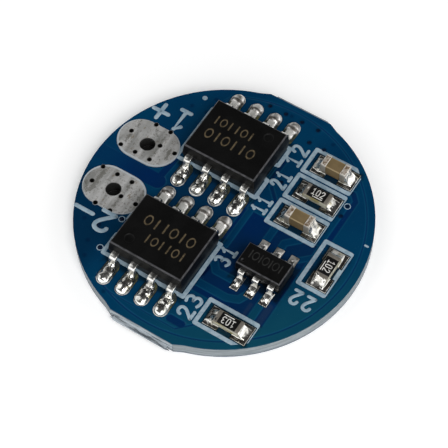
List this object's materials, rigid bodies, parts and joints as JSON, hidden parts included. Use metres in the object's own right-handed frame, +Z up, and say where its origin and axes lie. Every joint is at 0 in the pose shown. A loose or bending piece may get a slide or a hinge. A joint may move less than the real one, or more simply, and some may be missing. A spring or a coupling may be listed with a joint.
{
  "type": "battery management board",
  "caption": "Round board that guards two cells in series: power transistors, a controller and chip parts on its upper face, plated terminals at its edge.",
  "frame": {"origin": "centre of the round board, on the plane of the copper lands on its underside, which it rests on", "axes": "+Z up out of the side that carries the components; +X along the transistors' lead rows, away from the output terminals; +Y from the charge transistor to the discharge transistor"},
  "size_m": [0.0172, 0.0176, 0.0024],
  "materials": {
    "laminate": "pale glass-epoxy, sanded edge with fibre streaks",
    "solder_mask": "glossy blue lacquer over copper",
    "plated_barrel": "copper plating",
    "tinned_copper": "flat tin finish with faint stains",
    "solder": "shiny lumpy tin solder",
    "lead_frame": "matt tin plating on bent strip",
    "moulding_compound": "fine-grained black epoxy",
    "capacitor_ceramic": "smooth tan ceramic",
    "alumina": "off-white alumina",
    "resistor_glaze": "black glass glaze",
    "end_plating": "tin-plated ends",
    "legend_ink": "printed pale ink, slightly broken"
  },
  "bodies": {
    "root": {"round_laminate": "laminate", "via_barrels": "plated_barrel", "solder_mask_top": "solder_mask", "solder_mask_bottom": "solder_mask", "output_terminal_plus": "tinned_copper", "output_terminal_minus": "tinned_copper", "cell_land_minus": "tinned_copper", "cell_land_middle": "tinned_copper", "component_lands": "tinned_copper", "printed_outlines": "legend_ink", "discharge_transistor_body": "moulding_compound", "discharge_transistor_solder": "solder", "discharge_gate_lead": "lead_frame", "discharge_source_lead_1": "lead_frame", "discharge_source_lead_2": "lead_frame", "discharge_source_lead_3": "lead_frame", "discharge_drain_lead_1": "lead_frame", "discharge_drain_lead_2": "lead_frame", "discharge_drain_lead_3": "lead_frame", "discharge_drain_lead_4": "lead_frame", "charge_transistor_body": "moulding_compound", "charge_transistor_solder": "solder", "charge_gate_lead": "lead_frame", "charge_source_lead_1": "lead_frame", "charge_source_lead_2": "lead_frame", "charge_source_lead_3": "lead_frame", "charge_drain_lead_1": "lead_frame", "charge_drain_lead_2": "lead_frame", "charge_drain_lead_3": "lead_frame", "charge_drain_lead_4": "lead_frame", "controller_body": "moulding_compound", "controller_solder": "solder", "controller_lead_1": "lead_frame", "controller_lead_2": "lead_frame", "controller_lead_3": "lead_frame", "controller_lead_4": "lead_frame", "controller_lead_5": "lead_frame", "controller_lead_6": "lead_frame", "capacitor_1_ceramic": "capacitor_ceramic", "capacitor_1_end_caps": "end_plating", "capacitor_1_solder": "solder", "capacitor_2_ceramic": "capacitor_ceramic", "capacitor_2_end_caps": "end_plating", "capacitor_2_solder": "solder", "resistor_1_alumina": "alumina", "resistor_1_glaze": "resistor_glaze", "resistor_1_end_clips": "end_plating", "resistor_1_solder": "solder", "resistor_2_alumina": "alumina", "resistor_2_glaze": "resistor_glaze", "resistor_2_end_clips": "end_plating", "resistor_2_solder": "solder", "resistor_3_alumina": "alumina", "resistor_3_glaze": "resistor_glaze", "resistor_3_end_clips": "end_plating", "resistor_3_solder": "solder"}
  },
  "joints": []
}
